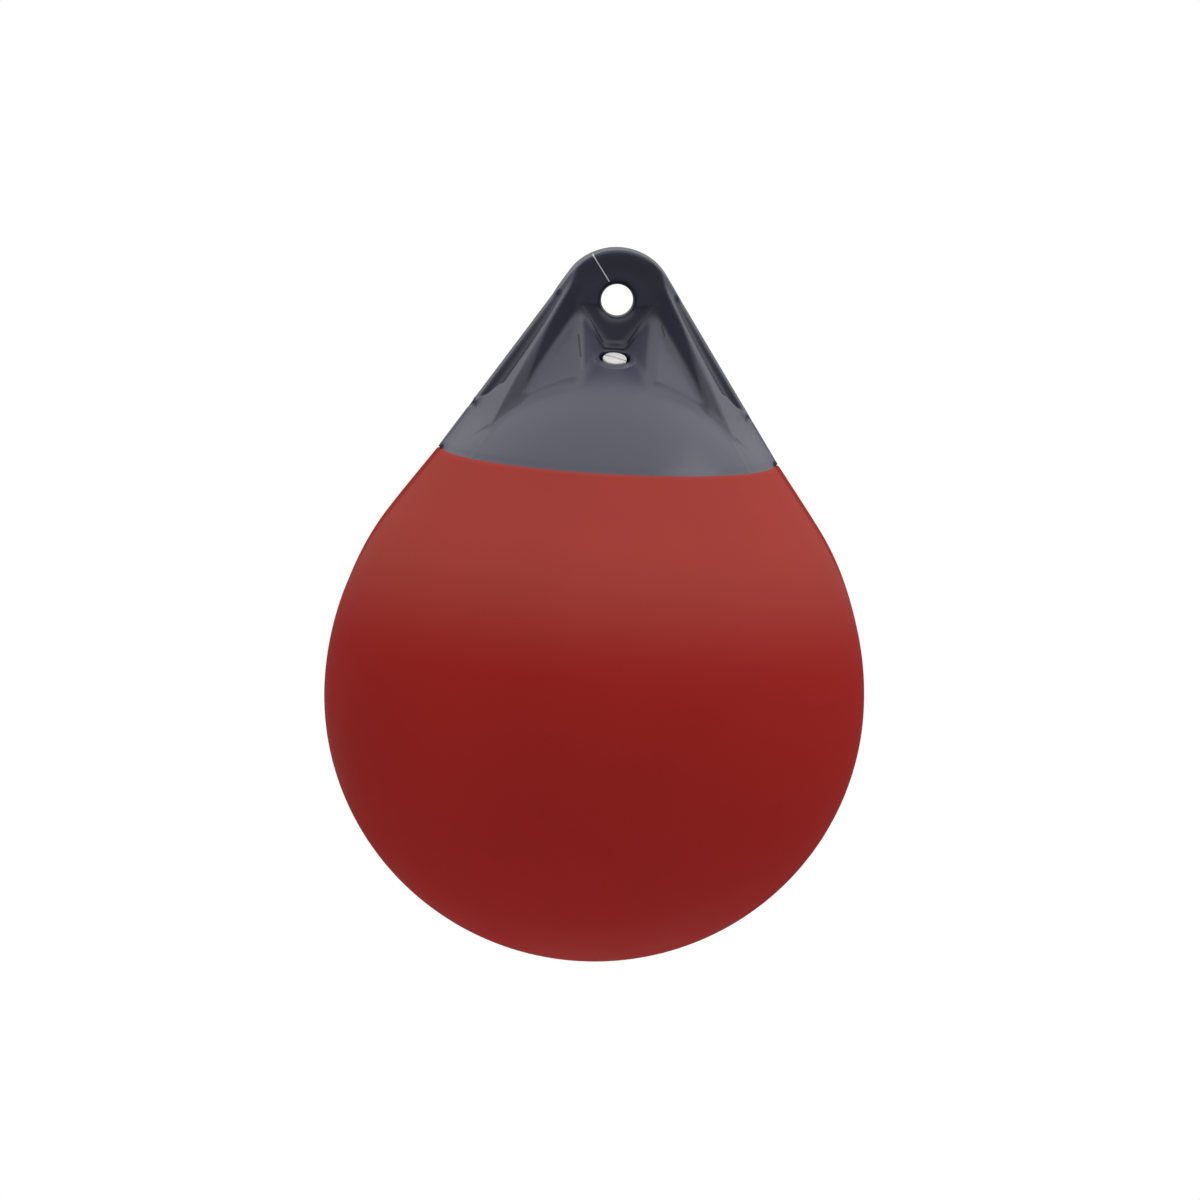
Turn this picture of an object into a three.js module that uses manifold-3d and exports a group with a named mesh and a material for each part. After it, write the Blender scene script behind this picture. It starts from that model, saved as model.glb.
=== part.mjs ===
// Inflatable ball buoy with a moulded rope hold. Millimetres, +Z up.
// The origin is the centre of the rope eye, from which the ball hangs.
import * as THREE from 'three';
import Module from 'manifold-3d';
import { ConvexGeometry } from 'three/addons/geometries/ConvexGeometry.js';
import { mergeVertices } from 'three/addons/utils/BufferGeometryUtils.js';

const wasm = await Module();
wasm.setup();

// Ball shell. Heights are measured from the level where the ball is widest.
const ballRadius = 185;
const ballDepth = 182;
const shoulderRadius = 208;
const coneHalfAngle = THREE.MathUtils.degToRad(36);
const shellWall = 3;
const seamHeight = 165.5;
const beadProud = 3;
const beadHalfWidth = 2.6;
const beadFootHeight = 55;
const beadSinkStartShare = 0.15;
const beadSinkRate = 1.25;

// Rope hold
const domeRadius = 198;
const domeTop = 241.7;
const skirtWall = 5;
const lapDepth = 12;
const lapWall = 3.4;
const fitClearance = 0.3;
const cavityTop = 220;
const archTop = 308.6;
const archRadius = 40;
const webThickness = 14;
const rimHalfDepth = 12;
const rimThickness = 6;
const rimRounding = 2;
const rimSpread = THREE.MathUtils.degToRad(54);

// Where the rope hold's solids meet: a level just above the dome, and upright planes outside the web
const partRise = 0.3;
const partMargin = 0.4;

// Fins. Their half depth and the slant of their outer face grow with the drop below finStartHeight.
const finStartHeight = 304;
const finSpread = 0.26;
const finFlare = 0.00125;
const finSlant = 0.27;
const finSlantGrowth = 0.0011;
const finFlankSlope = 0.8;
const finFootHeight = 189.7;
const finStations = [290.9, 275, 258, 241, 222, 205, finFootHeight];
const footHalfDepth = 35;
const ridgeFootWidth = 17;

// Channels between the ridge and the fins
const channelDepth = 9.6;
const channelStartHeight = 303;
const channelGrowth = 40;
const channelEndHeight = 212;
const creaseEndHeight = 193;

// Gussets that stiffen the web
const gussetPeakHalfWidth = 26;
const gussetPeakHalfDepth = 10;
const gussetPeakHeight = 267;
const webCornerHalfWidth = 16.5;
const webCornerHeight = 258;
const webFootHalfWidth = 8.5;
const webFootHeight = 245;
const cheekFootHeight = 233.5;
const cheekFootAngle = THREE.MathUtils.degToRad(41);
const gussetFootHeight = 220;
const gussetInnerAngle = THREE.MathUtils.degToRad(27);
const gussetOuterAngle = THREE.MathUtils.degToRad(64);
const gussetSink = 8;

// Rope eye
const eyeHeight = 273.4;
const eyeRadius = 10.9;
const eyeLipRadius = 3.5;

// Valve
const valveOffset = 22;
const screwHeadRadius = 8.2;
const screwHeadHeight = 2.6;
const screwHeadProud = 0.8;
const screwShankRadius = 5;
const screwShankLength = 13;
const screwEdge = 0.5;
const screwTipChamfer = 1;
const slotWidth = 2.2;
const slotDepth = 1.3;
const slotTurn = THREE.MathUtils.degToRad(-28);
const sealWireRadius = 1;
const sealRadius = 6.4;
const seatGap = 1.3;
const boreHeadroom = 6;
const boreReach = 12;

// How far a cutter reaches past what it cuts, and how far joined forms sink into each other
const cutMargin = 1;
const joinSink = 1;
const trimStartAngle = 0.02;

// Steps of the round surfaces
const roundSteps = 64;
const boreSteps = 28;
const bowlSteps = 17;
const shoulderSteps = 7;
const liningSteps = 6;
const liningBowlSteps = 12;
const beadSteps = 14;
const beadPathSteps = 18;
const beadSides = 10;
const domeSteps = 12;
const cavitySteps = 8;
const curveSteps = 16;
const bevelSteps = 3;
const lipSteps = 5;
const sealSteps = 10;

// Places that follow from the sizes above
const coneStartHeight = shoulderRadius * Math.sin(coneHalfAngle);
const coneStartRadius = ballRadius - shoulderRadius + shoulderRadius * Math.cos(coneHalfAngle);
const seamRadius = coneStartRadius - (seamHeight - coneStartHeight) * Math.tan(coneHalfAngle);
const shellInnerSeamRadius = seamRadius - shellWall / Math.cos(coneHalfAngle);
const domeRim = new THREE.Vector2(seamRadius, seamHeight);
const domeCentre = arcCentre(domeRim, new THREE.Vector2(0, domeTop), domeRadius);
const archHeight = archTop - archRadius;
const ridgeFootRadius = seamRadius + beadProud;
const ridgeAngle = tangentAngle(ridgeFootRadius, archHeight - seamHeight, archRadius);
const ridgeTopRadius = archRadius * Math.cos(ridgeAngle);
const ridgeTopHeight = archHeight + archRadius * Math.sin(ridgeAngle);
const webHalf = webThickness / 2;
const blockWidth = 4 * ballRadius;
const partHeight = domeTop + partRise;

// Centre of an arc of a given radius that rises from one point to another, on its inner side.
function arcCentre(from, to, radius) {
  const middle = from.clone().add(to).multiplyScalar(0.5);
  const chord = to.clone().sub(from);
  const reach = Math.sqrt(radius * radius - chord.lengthSq() / 4);
  const inward = new THREE.Vector2(-chord.y, chord.x).normalize();
  return middle.add(inward.multiplyScalar(reach));
}

// Angle from upright of the line that rises from a foot and just touches a circle on the axis.
function tangentAngle(footRadius, rise, radius) {
  return Math.atan2(footRadius, rise) - Math.asin(radius / Math.hypot(footRadius, rise));
}

function domeHeightAt(radius) {
  return domeCentre.y + Math.sqrt(domeRadius ** 2 - (radius - domeCentre.x) ** 2);
}

function domeRadiusAt(height) {
  return domeCentre.x + Math.sqrt(domeRadius ** 2 - (height - domeCentre.y) ** 2);
}

function ridgeRadiusAt(height) {
  return ridgeTopRadius + (ridgeTopHeight - height) * Math.tan(ridgeAngle);
}

function ballRadiusAt(height) {
  if (height > coneStartHeight) {
    return coneStartRadius - (height - coneStartHeight) * Math.tan(coneHalfAngle);
  }
  return ballRadius - shoulderRadius + Math.sqrt(shoulderRadius ** 2 - height ** 2);
}

// Points of an elliptical arc about a centre, from one angle to another.
function arcPoints(centreX, centreY, radiusX, radiusY, from, to, steps) {
  const points = [];
  for (let i = 0; i <= steps; i += 1) {
    const angle = from + (to - from) * i / steps;
    points.push(new THREE.Vector2(centreX + radiusX * Math.cos(angle), centreY + radiusY * Math.sin(angle)));
  }
  return points;
}

// A closed solid from any closed geometry.
function solid(geometry) {
  const bare = geometry.clone();
  bare.deleteAttribute('normal');
  bare.deleteAttribute('uv');
  const merged = mergeVertices(bare, 1e-4);
  const corners = merged.index.array;
  const kept = [];
  for (let i = 0; i < corners.length; i += 3) {
    const [a, b, c] = [corners[i], corners[i + 1], corners[i + 2]];
    if (a !== b && b !== c && c !== a) kept.push(a, b, c);
  }
  const vertProperties = new Float32Array(merged.attributes.position.array);
  return new wasm.Manifold(new wasm.Mesh({ numProp: 3, vertProperties, triVerts: new Uint32Array(kept) }));
}

// A geometry from a solid.
function surface(body) {
  const mesh = body.getMesh();
  const geometry = new THREE.BufferGeometry();
  geometry.setAttribute('position', new THREE.BufferAttribute(mesh.vertProperties, 3));
  geometry.setIndex(new THREE.BufferAttribute(mesh.triVerts, 1));
  geometry.computeVertexNormals();
  return geometry;
}

// A turned solid about the Z axis, from a profile of radius and height.
function turned(profile, steps = roundSteps) {
  return solid(new THREE.LatheGeometry(profile, steps).rotateX(Math.PI / 2));
}

// A plate that lies in the XZ plane, as thick to the front as to the back.
function plate(outline, thickness) {
  const options = { depth: thickness, bevelEnabled: false, curveSegments: curveSteps };
  const geometry = new THREE.ExtrudeGeometry(outline, options);
  return solid(geometry.rotateX(Math.PI / 2).translate(0, thickness / 2, 0));
}

// A block between two heights, wider than the whole buoy.
function blockBetween(low, high) {
  const block = new THREE.BoxGeometry(blockWidth, blockWidth, high - low);
  return solid(block.translate(0, 0, (low + high) / 2));
}

// The parting bead on one side: a round bar that runs along the ball and sinks into it.
function shellBead(side) {
  const points = [];
  const top = seamHeight + 2 * beadHalfWidth;
  for (let i = 0; i <= beadSteps; i += 1) {
    const height = top + (beadFootHeight - top) * i / beadSteps;
    const sink = Math.max(0, i / beadSteps - beadSinkStartShare) * beadSinkRate * beadProud;
    const radius = ballRadiusAt(height) + beadProud - beadHalfWidth - sink;
    points.push(new THREE.Vector3(side * radius, 0, height));
  }
  const round = arcPoints(0, 0, beadHalfWidth, beadHalfWidth, 0, 2 * Math.PI, beadSides);
  const section = new THREE.Shape(round.slice(0, -1));
  const path = new THREE.CatmullRomCurve3(points);
  return solid(new THREE.ExtrudeGeometry(section, { extrudePath: path, steps: beadPathSteps }));
}

// Rotomoulded vinyl shell, open at the top where the rope hold is fused on.
function ballShell() {
  const centreX = ballRadius - shoulderRadius;
  const innerDepth = ballDepth - shellWall;
  const innerRadius = ballRadius - shellWall;
  const innerShoulder = shoulderRadius - shellWall;
  const profile = [
    ...arcPoints(0, 0, ballRadius, ballDepth, -Math.PI / 2, 0, bowlSteps),
    ...arcPoints(centreX, 0, shoulderRadius, shoulderRadius, 0, coneHalfAngle, shoulderSteps).slice(1),
    new THREE.Vector2(seamRadius, seamHeight),
    new THREE.Vector2(shellInnerSeamRadius, seamHeight),
    ...arcPoints(centreX, 0, innerShoulder, innerShoulder, coneHalfAngle, 0, liningSteps),
    ...arcPoints(0, 0, innerRadius, innerDepth, 0, -Math.PI / 2, liningBowlSteps).slice(1),
  ];
  profile[0].x = 0;
  profile[profile.length - 1].x = 0;
  const beads = shellBead(1).add(shellBead(-1));
  const inside = turned([
    new THREE.Vector2(0, 0),
    new THREE.Vector2(innerRadius - cutMargin, 0),
    ...arcPoints(centreX, 0, innerShoulder, innerShoulder, trimStartAngle, coneHalfAngle, liningSteps),
    new THREE.Vector2(shellInnerSeamRadius, seamHeight),
    new THREE.Vector2(0, seamHeight),
  ]);
  const above = blockBetween(seamHeight, archTop);
  return turned(profile).add(beads.subtract(inside).subtract(above));
}

// Outer skin of the rope hold: a dome that carries the ball's cone on to the axis.
function domeBody() {
  const start = Math.atan2(seamHeight - domeCentre.y, seamRadius - domeCentre.x);
  const end = Math.atan2(domeTop - domeCentre.y, -domeCentre.x);
  const skin = arcPoints(domeCentre.x, domeCentre.y, domeRadius, domeRadius, start, end, domeSteps);
  skin[skin.length - 1].x = 0;
  return turned([new THREE.Vector2(0, seamHeight), ...skin]);
}

// Hollow under the dome, one wall inside it and flat on top.
function domeCavity() {
  const innerRadius = domeRadius - skirtWall;
  const start = Math.atan2(seamHeight - domeCentre.y, seamRadius - domeCentre.x);
  const end = Math.asin((cavityTop - domeCentre.y) / innerRadius);
  const lapInner = shellInnerSeamRadius - fitClearance - lapWall;
  const skin = arcPoints(domeCentre.x, domeCentre.y, innerRadius, innerRadius, start, end, cavitySteps);
  skin[0].set(lapInner, seamHeight);
  const lapFoot = seamHeight - lapDepth;
  const lapFootRadius = lapInner + lapDepth * Math.tan(coneHalfAngle);
  return turned([
    new THREE.Vector2(0, lapFoot - cutMargin),
    new THREE.Vector2(lapFootRadius + cutMargin * Math.tan(coneHalfAngle), lapFoot - cutMargin),
    ...skin,
    new THREE.Vector2(0, cavityTop),
  ]);
}

// Lap that reaches down inside the shell's neck and is fused to it.
function lapRing() {
  const outer = shellInnerSeamRadius - fitClearance;
  const foot = seamHeight - lapDepth;
  const flare = lapDepth * Math.tan(coneHalfAngle);
  return turned([
    new THREE.Vector2(outer - lapWall - joinSink, seamHeight + joinSink),
    new THREE.Vector2(outer - lapWall - joinSink, seamHeight),
    new THREE.Vector2(outer - lapWall + flare, foot),
    new THREE.Vector2(outer + flare, foot),
    new THREE.Vector2(outer, seamHeight),
    new THREE.Vector2(outer, seamHeight + joinSink),
    new THREE.Vector2(outer - lapWall - joinSink, seamHeight + joinSink),
  ]);
}

// Upright web that the rope eye goes through.
function webPlate() {
  const outline = new THREE.Shape();
  const foot = finFootHeight;
  const footHalfWidth = ridgeRadiusAt(foot) - ridgeFootWidth;
  outline.moveTo(-footHalfWidth, foot);
  outline.lineTo(footHalfWidth, foot);
  outline.absarc(0, archHeight, archRadius - rimRounding, ridgeAngle, Math.PI - ridgeAngle, false);
  return plate(outline, webThickness);
}

// Rounded strap over the top of the web.
function archRim() {
  const outline = new THREE.Shape();
  const outer = archRadius - rimRounding;
  const inner = archRadius - rimThickness + rimRounding;
  const from = Math.PI / 2 - rimSpread;
  const to = Math.PI / 2 + rimSpread;
  outline.absarc(0, archHeight, outer, from, to, false);
  outline.absarc(0, archHeight, inner, to, from, true);
  const geometry = new THREE.ExtrudeGeometry(outline, {
    depth: 2 * (rimHalfDepth - rimRounding),
    bevelSize: rimRounding,
    bevelThickness: rimRounding,
    bevelSegments: bevelSteps,
    curveSegments: curveSteps,
  });
  return solid(geometry.rotateX(Math.PI / 2).translate(0, rimHalfDepth - rimRounding, 0));
}

// Half of a leg's level section: on the ridge, on the fin's crest and where its flank meets the web.
function legSection(height, halfDepthLimit = Infinity) {
  const ridge = ridgeRadiusAt(height);
  const drop = finStartHeight - height;
  const full = rimHalfDepth + finSpread * drop + finFlare * drop * drop;
  const halfDepth = Math.min(full, halfDepthLimit);
  const crest = ridge - (finSlant + finSlantGrowth * drop) * halfDepth;
  return {
    ridge: new THREE.Vector3(ridge, beadHalfWidth / 2, height),
    crest: new THREE.Vector3(crest, halfDepth, height),
    root: new THREE.Vector3(crest - (halfDepth - webHalf) / finFlankSlope, webHalf - joinSink, height),
  };
}

// Point on the dome at a height and an angle round from the front or back.
function onDome(height, angle) {
  const radius = domeRadiusAt(height);
  return new THREE.Vector3(radius * Math.sin(angle), radius * Math.cos(angle), height);
}

// The smallest convex solid round some points, on one side and, if both, in front and behind.
function hull(points, side, faces) {
  const placed = [];
  for (const face of faces) {
    placed.push(...points.map((p) => new THREE.Vector3(side * p.x, face * p.y, p.z)));
  }
  return solid(new ConvexGeometry(placed));
}

// One leg of the rope hold: the strap from the arch down to the seam, with its two spread fins.
function leg(side) {
  const sections = finStations.map((height) => Object.values(legSection(height)));
  const bodies = [];
  for (let i = 1; i < sections.length; i += 1) {
    bodies.push(hull([...sections[i - 1], ...sections[i]], side, [-1, 1]));
  }
  const seamRidge = legSection(seamHeight, beadHalfWidth / 2).ridge;
  const seamRoot = seamRidge.clone().add(new THREE.Vector3(-ridgeFootWidth, beadHalfWidth, 0));
  const foot = Object.values(legSection(finFootHeight, footHalfDepth));
  bodies.push(hull([...foot, seamRidge, seamRoot], side, [-1, 1]));
  const whole = bodies.reduce((sum, body) => sum.add(body));
  return whole.subtract(channel(side, -1)).subtract(channel(side, 1));
}

// Half of a channel's level section: its floor is level with the fin's rim and stops at the ridge.
function channelSection(height, rimHeight) {
  const ridge = ridgeRadiusAt(height);
  const depth = channelDepth * (1 - Math.exp((rimHeight - channelStartHeight) / channelGrowth));
  const rimHalf = depth / (finSlant + finSlantGrowth * (finStartHeight - rimHeight));
  const rimFloor = ridgeRadiusAt(rimHeight) - depth;
  return [
    new THREE.Vector3(ridge - depth, beadHalfWidth, height),
    new THREE.Vector3(ridge + ridgeFootWidth, beadHalfWidth, height),
    new THREE.Vector3(rimFloor, rimHalf, rimHeight),
    new THREE.Vector3(rimFloor + ridgeFootWidth, rimHalf, rimHeight),
  ];
}

// Channel down the outside of a leg, between its ridge and one of its fins, with a slanted end.
function channel(side, face) {
  const heights = finStations.filter((height) => height > channelEndHeight);
  const sections = heights.map((height) => channelSection(height, height));
  sections.push(channelSection(creaseEndHeight, channelEndHeight));
  const bodies = [];
  for (let i = 1; i < sections.length; i += 1) {
    bodies.push(hull([...sections[i - 1], ...sections[i]], side, [face]));
  }
  return bodies.reduce((sum, body) => sum.add(body));
}

// Three-sided buttress that stiffens the web on one side, in front or behind.
function gusset(side, face) {
  const inner = onDome(gussetFootHeight, gussetInnerAngle);
  const outer = onDome(gussetFootHeight, gussetOuterAngle);
  const deep = gussetFootHeight - gussetSink;
  const points = [
    new THREE.Vector3(gussetPeakHalfWidth, gussetPeakHalfDepth, gussetPeakHeight),
    new THREE.Vector3(webCornerHalfWidth, webHalf, webCornerHeight),
    new THREE.Vector3(webFootHalfWidth, webHalf, webFootHeight),
    onDome(cheekFootHeight, cheekFootAngle),
    inner,
    outer,
    new THREE.Vector3(inner.x, inner.y - gussetSink, deep),
    new THREE.Vector3(outer.x - gussetSink, outer.y, deep),
    new THREE.Vector3(webFootHalfWidth, 0, deep),
    new THREE.Vector3(gussetPeakHalfWidth, 0, gussetPeakHeight - gussetSink),
    new THREE.Vector3(outer.x - gussetSink, 0, deep),
  ];
  return hull(points, side, [face]);
}

// Rope eye with rounded lips on both faces of the web.
function eyeCutter() {
  const half = webHalf + cutMargin;
  const lipStart = webHalf - eyeLipRadius;
  const lipCentre = eyeRadius + eyeLipRadius;
  const flare = arcPoints(lipCentre, lipStart, eyeLipRadius, eyeLipRadius, Math.PI, Math.PI / 2, lipSteps);
  const outer = new THREE.Vector2(lipCentre, half);
  const upper = [...flare, outer];
  const lower = upper.map((p) => new THREE.Vector2(p.x, -p.y)).reverse();
  const profile = [new THREE.Vector2(0, -half), ...lower, ...upper, new THREE.Vector2(0, half)];
  return solid(new THREE.LatheGeometry(profile, boreSteps).translate(0, 0, eyeHeight));
}

// Place and tilt of the valve: on the front of the dome, square to its skin.
const valveSeat = new THREE.Group();
valveSeat.position.set(0, -valveOffset, domeHeightAt(valveOffset));
valveSeat.rotation.x = Math.atan2(valveOffset - domeCentre.x, domeHeightAt(valveOffset) - domeCentre.y);
valveSeat.updateMatrix();

const headUnderside = screwHeadProud - screwHeadHeight;
const seatFloor = headUnderside - 2 * sealWireRadius - 2 * fitClearance;

// Counterbore and threaded bore that take the valve screw.
function valveBore() {
  const boreRadius = screwShankRadius + fitClearance;
  const seatRadius = screwHeadRadius + seatGap;
  const bottom = cavityTop - domeHeightAt(valveOffset) - boreReach;
  const profile = [
    new THREE.Vector2(0, bottom),
    new THREE.Vector2(boreRadius, bottom),
    new THREE.Vector2(boreRadius, seatFloor),
    new THREE.Vector2(seatRadius, seatFloor),
    new THREE.Vector2(seatRadius, boreHeadroom),
    new THREE.Vector2(0, boreHeadroom),
  ];
  return turned(profile, boreSteps).transform(valveSeat.matrix.toArray());
}

function ropeHold() {
  const below = blockBetween(-ballDepth, seamHeight);
  let body = domeBody().add(webPlate()).add(archRim());
  for (const side of [-1, 1]) {
    body = body.add(leg(side)).add(gusset(side, -1)).add(gusset(side, 1));
  }
  body = body.subtract(below).add(lapRing());
  return body.subtract(domeCavity()).subtract(eyeCutter()).subtract(valveBore());
}

// The one moulding as six solids that meet on flat faces: the dome with the lower legs, the web between
// the legs, and four wings, each with the fin and the gusset of one side, in front of or behind the web.
function ropeHoldSolids() {
  const whole = ropeHold();
  const upper = blockBetween(partHeight, 2 * archTop);
  const partDepth = webThickness + 2 * partMargin;
  const between = solid(new THREE.BoxGeometry(blockWidth, partDepth, blockWidth).translate(0, 0, archTop));
  const top = whole.intersect(upper);
  const solids = { rope_hold: whole.subtract(upper), rope_hold_web: top.intersect(between) };
  for (const [sideName, side] of [['left', -1], ['right', 1]]) {
    for (const [faceName, face] of [['front', -1], ['back', 1]]) {
      const quarter = new THREE.BoxGeometry(blockWidth, blockWidth, blockWidth);
      quarter.translate(side * blockWidth / 2, face * (blockWidth + partDepth) / 2, archTop);
      solids[`rope_hold_${faceName}_${sideName}`] = top.intersect(solid(quarter));
    }
  }
  return solids;
}

// Slotted nylon plug that closes the valve.
function valveScrew() {
  const tip = headUnderside - screwShankLength;
  const body = turned([
    new THREE.Vector2(0, tip),
    new THREE.Vector2(screwShankRadius - screwTipChamfer, tip),
    new THREE.Vector2(screwShankRadius, tip + screwTipChamfer),
    new THREE.Vector2(screwShankRadius, headUnderside),
    new THREE.Vector2(screwHeadRadius, headUnderside),
    new THREE.Vector2(screwHeadRadius, screwHeadProud - screwEdge),
    new THREE.Vector2(screwHeadRadius - screwEdge, screwHeadProud),
    new THREE.Vector2(0, screwHeadProud),
  ], boreSteps);
  const slot = new THREE.BoxGeometry(3 * screwHeadRadius, slotWidth, 2 * slotDepth);
  return body.subtract(solid(slot.rotateZ(slotTurn).translate(0, 0, screwHeadProud)));
}

// Rubber ring between the screw's head and its seat.
function valveSeal() {
  return new THREE.TorusGeometry(sealRadius, sealWireRadius, sealSteps, boreSteps);
}

function finish(color, roughness) {
  return new THREE.MeshStandardMaterial({ color, roughness, metalness: 0 });
}

function named(name, geometry, material) {
  const mesh = new THREE.Mesh(geometry, material);
  mesh.name = name;
  return mesh;
}

const redVinyl = finish(0x93302c, 0.3);
const navyVinyl = finish(0x5a5d70, 0.28);
const whiteNylon = finish(0xdcdad6, 0.35);
const blackRubber = finish(0x1c1c20, 0.6);

const screw = named('valve_screw', surface(valveScrew()), whiteNylon);
const seal = named('valve_seal', valveSeal(), blackRubber);
seal.position.z = headUnderside - fitClearance - sealWireRadius;
valveSeat.add(screw, seal);

const buoy = new THREE.Group();
buoy.position.z = -eyeHeight;
buoy.add(named('ball_shell', surface(ballShell()), redVinyl));
for (const [name, body] of Object.entries(ropeHoldSolids())) {
  buoy.add(named(name, surface(body), navyVinyl));
}
buoy.add(valveSeat);

const part = new THREE.Group();
part.add(buoy);

export default part;
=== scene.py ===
"""Looks of the inflatable ball buoy: red ball, dark moulded rope hold and white valve screw.

Metres, in the frame of the rope eye. The shapes are worked out in millimetres from the level
where the ball is widest, as a moulder would draw them, and put into the frame at the end.
"""

import math
import bpy
import numpy as np
from mathutils import Matrix, Vector


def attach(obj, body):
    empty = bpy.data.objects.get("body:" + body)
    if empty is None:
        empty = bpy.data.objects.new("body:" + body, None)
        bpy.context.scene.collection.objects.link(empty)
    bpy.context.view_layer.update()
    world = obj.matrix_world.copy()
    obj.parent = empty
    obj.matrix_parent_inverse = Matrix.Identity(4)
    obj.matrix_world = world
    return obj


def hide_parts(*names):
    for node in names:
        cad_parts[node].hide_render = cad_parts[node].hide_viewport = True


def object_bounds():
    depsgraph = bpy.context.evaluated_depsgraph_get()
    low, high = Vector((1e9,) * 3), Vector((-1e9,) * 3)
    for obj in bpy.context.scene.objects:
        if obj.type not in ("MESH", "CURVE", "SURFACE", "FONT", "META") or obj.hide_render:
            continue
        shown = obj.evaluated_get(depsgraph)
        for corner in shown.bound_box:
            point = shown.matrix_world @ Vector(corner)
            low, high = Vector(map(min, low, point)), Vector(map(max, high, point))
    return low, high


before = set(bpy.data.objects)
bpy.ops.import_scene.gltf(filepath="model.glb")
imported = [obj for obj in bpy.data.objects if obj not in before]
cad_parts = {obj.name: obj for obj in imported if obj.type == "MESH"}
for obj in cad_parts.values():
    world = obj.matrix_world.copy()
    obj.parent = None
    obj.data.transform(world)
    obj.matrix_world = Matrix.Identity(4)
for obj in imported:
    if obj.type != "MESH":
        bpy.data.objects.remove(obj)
cad_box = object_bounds()

# Camera
# A long lens a little above the ball's middle. The buoy leans to the right in the picture, and the
# whole picture is as wide as 822 mm at the ball.
EYE_ABOVE_BALL = 0.2734
view_turn = math.radians(-2.0)
view_rise = math.radians(6.4)
view_lean = math.radians(3.3)
view_distance = 20.0
view_width = 0.8222
view_centre = (0.0040, 0.0657)
sensor_width = 36.0

backward = Vector((
    math.sin(view_turn) * math.cos(view_rise),
    -math.cos(view_turn) * math.cos(view_rise),
    math.sin(view_rise),
))
level_right = Vector((math.cos(view_turn), math.sin(view_turn), 0))
level_up = backward.cross(level_right)
right = level_right * math.cos(view_lean) + level_up * math.sin(view_lean)
up = level_up * math.cos(view_lean) - level_right * math.sin(view_lean)
ball_middle = Vector((0, 0, -EYE_ABOVE_BALL))
aim = ball_middle + right * view_centre[0] + up * view_centre[1]
camera = bpy.data.objects.new("camera", bpy.data.cameras.new("camera"))
camera.matrix_world = Matrix.Translation(aim + backward * view_distance) @ Matrix(
    (right, up, backward)
).transposed().to_4x4()
camera.data.sensor_width = sensor_width
camera.data.lens = sensor_width * view_distance / view_width
camera.data.clip_end = 3 * view_distance
scene = bpy.context.scene
scene.collection.objects.link(camera)
scene.camera = camera
scene.view_settings.view_transform = "Standard"


# Studio
# White to the camera. Everything else is lit by a soft tent, brightest overhead and to both sides and dim
# below, and by one large soft lamp high on the right.
tent_axis = (0.22, 0.0, 0.93)
lamp_width = 1.4
lamp_power = 7.0
lamp_distance = 2.4
lamp_direction = Vector((0.72, -0.2, 0.66)).normalized()


def nodes_of(material):
    """The node tree of a material or a world, emptied."""
    material.use_nodes = True
    tree = material.node_tree
    tree.nodes.clear()
    return tree


def node(tree, kind, **values):
    """A new node, with its properties and inputs set by name, an underscore standing for a space."""
    made = tree.nodes.new(kind)
    for name, value in values.items():
        label = name.replace("_", " ")
        if hasattr(made, name) and name not in made.inputs and label not in made.inputs:
            setattr(made, name, value)
        else:
            made.inputs[name if name in made.inputs else label].default_value = value
    return made


def join(tree, *pairs):
    """Links sockets in pairs: from, to."""
    for start, end in pairs:
        tree.links.new(start, end)


world = bpy.data.worlds.new("studio")
scene.world = world
studio = nodes_of(world)
dim = node(studio, "ShaderNodeBackground", Color=(0.42, 0.42, 0.43, 1), Strength=1.0)
bright = node(studio, "ShaderNodeBackground", Color=(1.5, 1.5, 1.53, 1), Strength=1.0)
paper = node(studio, "ShaderNodeBackground", Color=(1, 1, 1, 1), Strength=1.0)
toward = node(studio, "ShaderNodeTexCoord")
either_side = node(studio, "ShaderNodeVectorMath", operation="ABSOLUTE")
lean = node(studio, "ShaderNodeVectorMath", operation="DOT_PRODUCT")
lean.inputs[1].default_value = tent_axis
roof = node(studio, "ShaderNodeMapRange", interpolation_type="SMOOTHSTEP", From_Min=-0.05, From_Max=0.9)
axes = node(studio, "ShaderNodeSeparateXYZ")
hem = node(studio, "ShaderNodeMapRange", interpolation_type="SMOOTHSTEP", From_Min=0.0, From_Max=0.25)
both = node(studio, "ShaderNodeMath", operation="MULTIPLY")
tent = node(studio, "ShaderNodeMixShader")
ray = node(studio, "ShaderNodeLightPath")
choice = node(studio, "ShaderNodeMixShader")
world_out = node(studio, "ShaderNodeOutputWorld")
join(
    studio,
    (toward.outputs["Generated"], either_side.inputs[0]),
    (either_side.outputs[0], lean.inputs[0]),
    (toward.outputs["Generated"], axes.inputs[0]),
    (lean.outputs["Value"], roof.inputs["Value"]),
    (axes.outputs["Z"], hem.inputs["Value"]),
    (roof.outputs[0], both.inputs[0]),
    (hem.outputs[0], both.inputs[1]),
    (both.outputs[0], tent.inputs[0]),
    (dim.outputs[0], tent.inputs[1]),
    (bright.outputs[0], tent.inputs[2]),
    (ray.outputs["Is Camera Ray"], choice.inputs[0]),
    (tent.outputs[0], choice.inputs[1]),
    (paper.outputs[0], choice.inputs[2]),
    (choice.outputs[0], world_out.inputs[0]),
)

lamp = bpy.data.objects.new("soft_lamp", bpy.data.lights.new("soft_lamp", "AREA"))
lamp.data.size = lamp_width
lamp.data.energy = lamp_power
lamp.matrix_world = Matrix.Translation(ball_middle + lamp_direction * lamp_distance) @ (
    lamp_direction.to_track_quat("Z", "Y").to_matrix().to_4x4()
)
scene.collection.objects.link(lamp)

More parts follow.
